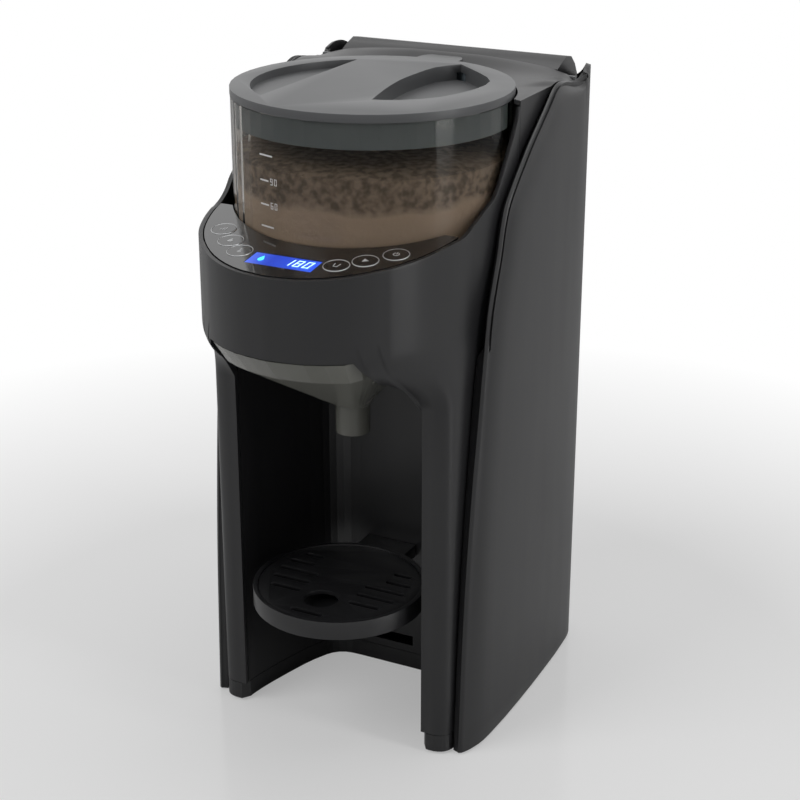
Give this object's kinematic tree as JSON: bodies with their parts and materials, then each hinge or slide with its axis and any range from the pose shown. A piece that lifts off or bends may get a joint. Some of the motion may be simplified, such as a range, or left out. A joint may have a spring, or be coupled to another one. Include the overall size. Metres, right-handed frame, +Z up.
{
  "type": "baby formula maker",
  "caption": "Countertop infant formula maker with a round powder container, sloped control panel, open bottle bay, slide-out funnel and drip cup, and a lift-out rear water tank.",
  "frame": {"origin": "middle of the footprint's bounding box, on the floor the rubber feet stand on", "axes": "+Z up, -Y towards the user, who faces the control panel and the bottle bay, +X to that user's right"},
  "size_m": [0.164, 0.2304, 0.3513],
  "materials": {
    "black_body": "satin black moulded plastic",
    "black_gloss": "gloss black",
    "grey_lid": "satin mid grey",
    "smoke_clear": "clear smoke-tinted plastic",
    "olive_clear": "translucent olive grey",
    "lens_clear": "clear window over a blue backlight",
    "black_rubber": "matt",
    "seal_silicone": "translucent blue-grey silicone",
    "white_plastic": "natural white",
    "grey_plastic": "mid grey",
    "board_green": "circuit board lacquer",
    "steel": "plated steel",
    "copper": "copper winding in varnish",
    "hose_silicone": "milky silicone"
  },
  "bodies": {
    "casing": {"outer_shell": "black_body", "front_cover": "black_body", "bay_liner": "black_body", "base_plate": "black_body", "top_deck": "black_body", "control_panel": "black_gloss", "display_window": "lens_clear", "display_module": "grey_plastic", "control_board": "board_green", "container_seat": "grey_plastic", "gear_plate": "grey_plastic", "dosing_motor": "steel", "powder_chute": "grey_plastic", "foot_front_left": "black_rubber", "foot_front_right": "black_rubber", "foot_rear_left": "black_rubber", "foot_rear_right": "black_rubber", "screw_front_left": "steel", "screw_front_right": "steel", "screw_rear_left": "steel", "screw_rear_right": "steel", "equipment_frame": "grey_plastic", "pump": "grey_plastic", "flow_meter": "white_plastic", "heater": "steel", "water_nozzle": "white_plastic", "tank_socket": "grey_plastic", "hose_tank_pump": "hose_silicone", "hose_pump_meter": "hose_silicone", "hose_meter_heater": "hose_silicone", "hose_heater_nozzle": "hose_silicone", "power_board": "board_green", "transformer": "copper", "cord_gland": "black_rubber"},
    "powder_container": {"powder_container": "smoke_clear", "wiper_plate": "white_plastic"},
    "dosing_wheel": {"dosing_wheel": "white_plastic", "stirrer": "white_plastic"},
    "powder_lid": {"powder_lid": "grey_lid", "lid_seal": "seal_silicone"},
    "drive_gear": {"drive_gear": "white_plastic", "drive_coupling": "white_plastic"},
    "motor_pinion": {"motor_pinion": "white_plastic"},
    "water_tank": {"water_tank": "smoke_clear", "tank_lid_pin": "steel"},
    "tank_lid": {"tank_lid": "black_body"},
    "tank_valve": {"tank_valve": "white_plastic"},
    "funnel": {"funnel": "olive_clear"},
    "drip_cup": {"drip_cup": "black_body"},
    "drip_grate": {"drip_grate": "black_body"},
    "button_strength": {"button_strength": "black_gloss"},
    "button_water": {"button_water": "black_gloss"},
    "button_heat": {"button_heat": "black_gloss"},
    "button_volume": {"button_volume": "black_gloss"},
    "button_start": {"button_start": "black_gloss"},
    "button_power": {"button_power": "black_gloss"}
  },
  "joints": [
    {"name": "container_lift", "type": "slide", "parent": "casing", "child": "powder_container", "axis": [0, 0, 1], "range_m": [0, 0.09]},
    {"name": "lid_lift", "type": "slide", "parent": "powder_container", "child": "powder_lid", "axis": [0, 0, 1], "range_m": [0, 0.03]},
    {"name": "gear_turn", "type": "hinge", "parent": "casing", "child": "drive_gear", "pos_m": [0, -0.00425, 0.2495], "axis": [0, 0, 1], "continuous": true},
    {"name": "wheel_turn", "type": "hinge", "parent": "powder_container", "child": "dosing_wheel", "pos_m": [0, -0.00425, 0.2718], "axis": [0, 0, 1], "continuous": true},
    {"name": "pinion_turn", "type": "hinge", "parent": "casing", "child": "motor_pinion", "pos_m": [0, 0.03775, 0.2495], "axis": [0, 0, 1], "continuous": true},
    {"name": "press_strength", "type": "slide", "parent": "casing", "child": "button_strength", "axis": [0, 0, -1], "range_m": [0, 0.0006], "stiffness_N_per_m": 1500},
    {"name": "press_water", "type": "slide", "parent": "casing", "child": "button_water", "axis": [0, 0, -1], "range_m": [0, 0.0006], "stiffness_N_per_m": 1500},
    {"name": "press_heat", "type": "slide", "parent": "casing", "child": "button_heat", "axis": [0, 0, -1], "range_m": [0, 0.0006], "stiffness_N_per_m": 1500},
    {"name": "press_volume", "type": "slide", "parent": "casing", "child": "button_volume", "axis": [0, 0, -1], "range_m": [0, 0.0006], "stiffness_N_per_m": 1500},
    {"name": "press_start", "type": "slide", "parent": "casing", "child": "button_start", "axis": [0, 0, -1], "range_m": [0, 0.0006], "stiffness_N_per_m": 1500},
    {"name": "press_power", "type": "slide", "parent": "casing", "child": "button_power", "axis": [0, 0, -1], "range_m": [0, 0.0006], "stiffness_N_per_m": 1500},
    {"name": "tank_lift", "type": "slide", "parent": "casing", "child": "water_tank", "axis": [0, 0, 1], "range_m": [0, 0.305]},
    {"name": "tank_lid_hinge", "type": "hinge", "parent": "water_tank", "child": "tank_lid", "pos_m": [0, 0.11295, 0.3262], "axis": [-1, 0, 0], "range_deg": [0, 100]},
    {"name": "valve_lift", "type": "slide", "parent": "water_tank", "child": "tank_valve", "axis": [0, 0, 1], "range_m": [0, 0.0025], "stiffness_N_per_m": 120},
    {"name": "funnel_out", "type": "slide", "parent": "casing", "child": "funnel", "axis": [0, -1, 0], "range_m": [0, 0.14]},
    {"name": "cup_out", "type": "slide", "parent": "casing", "child": "drip_cup", "axis": [0, -1, 0], "range_m": [0, 0.14]},
    {"name": "grate_lift", "type": "slide", "parent": "drip_cup", "child": "drip_grate", "axis": [0, 0, 1], "range_m": [0, 0.02]}
  ],
  "couplings": [
    {"joint": "wheel_turn", "follows": "gear_turn", "ratio": 1},
    {"joint": "pinion_turn", "follows": "gear_turn", "ratio": -4.25}
  ]
}
